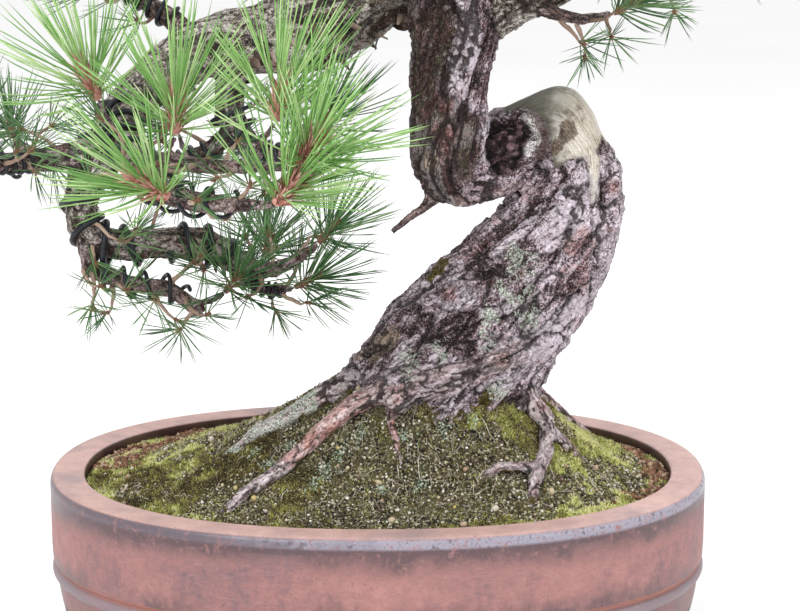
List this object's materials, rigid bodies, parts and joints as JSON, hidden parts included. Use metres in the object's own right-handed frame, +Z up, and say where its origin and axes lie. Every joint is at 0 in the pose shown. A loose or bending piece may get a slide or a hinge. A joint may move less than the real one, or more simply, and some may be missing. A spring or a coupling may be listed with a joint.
{
  "type": "bonsai tree",
  "caption": "Pine bonsai with a leaning, turned-over trunk, surface roots, wired branches and needle sprays, planted in an oval footed pot.",
  "frame": {"origin": "middle of the whole plant's outline seen from above, on the surface that the pot's feet rest on", "axes": "+Z up, +X to the right and -Y towards the viewer of the picture, along the pot's long and short axes"},
  "size_m": [0.5656, 0.4064, 0.5912],
  "materials": {
    "pot": "unglazed stoneware, low sheen",
    "soil": "damp grains with moss",
    "bark": "flaky bark with bare wood on the arch",
    "needles": "soft sheen",
    "wire": "dark, dull",
    "screen": "matt"
  },
  "bodies": {
    "root": {"pot": "pot", "drain_screen_left": "screen", "drain_screen_right": "screen", "soil": "soil", "trunk": "bark", "wire_front": "wire", "wire_lower_left": "wire", "wire_inner": "wire", "wire_outer_left": "wire", "spray_front_tip": "needles", "spray_frontUpper_tip": "needles", "spray_inner_tip": "needles", "spray_innerLeft_tip": "needles", "spray_upperLeft_tip": "needles", "spray_upperLeft_5": "needles", "spray_upperLeft_6": "needles", "spray_outerLeft_tip": "needles", "spray_outerLeft_8": "needles", "spray_outerLeft_9": "needles", "spray_outerLeftFront_tip": "needles", "spray_outerLeftBack_tip": "needles", "spray_lowerRight_tip": "needles", "spray_right_tip": "needles", "spray_right_14": "needles", "spray_right_15": "needles", "spray_rightFront_tip": "needles", "spray_rightFront_17": "needles", "spray_rightBack_tip": "needles", "spray_rightBack_19": "needles", "spray_rightLow_tip": "needles", "spray_back_tip": "needles", "spray_back_22": "needles", "spray_backRight_tip": "needles", "spray_backLeft_tip": "needles", "spray_crownFront_tip": "needles", "spray_crownFront_26": "needles", "spray_crownFront_27": "needles", "spray_crownLeft_tip": "needles", "spray_crownLeft_29": "needles", "spray_crownLeft_30": "needles", "spray_crownRight_tip": "needles", "spray_crownRight_32": "needles", "spray_apexFront_tip": "needles", "spray_apexBack_tip": "needles", "spray_apexLeft_tip": "needles", "spray_humpFront_tip": "needles", "spray_humpFront_37": "needles", "spray_leftBack_tip": "needles", "spray_leftBack_39": "needles", "spray_leftBack_40": "needles", "spray_trunk_tip": "needles", "spray_leftLimb_tip": "needles", "spray_front_43": "needles", "spray_front_44": "needles", "spray_front_45": "needles", "spray_frontUpper_46": "needles", "spray_lowerLeft_47": "needles", "spray_lowerRight_48": "needles", "spray_innerLeft_49": "needles"}
  },
  "joints": []
}
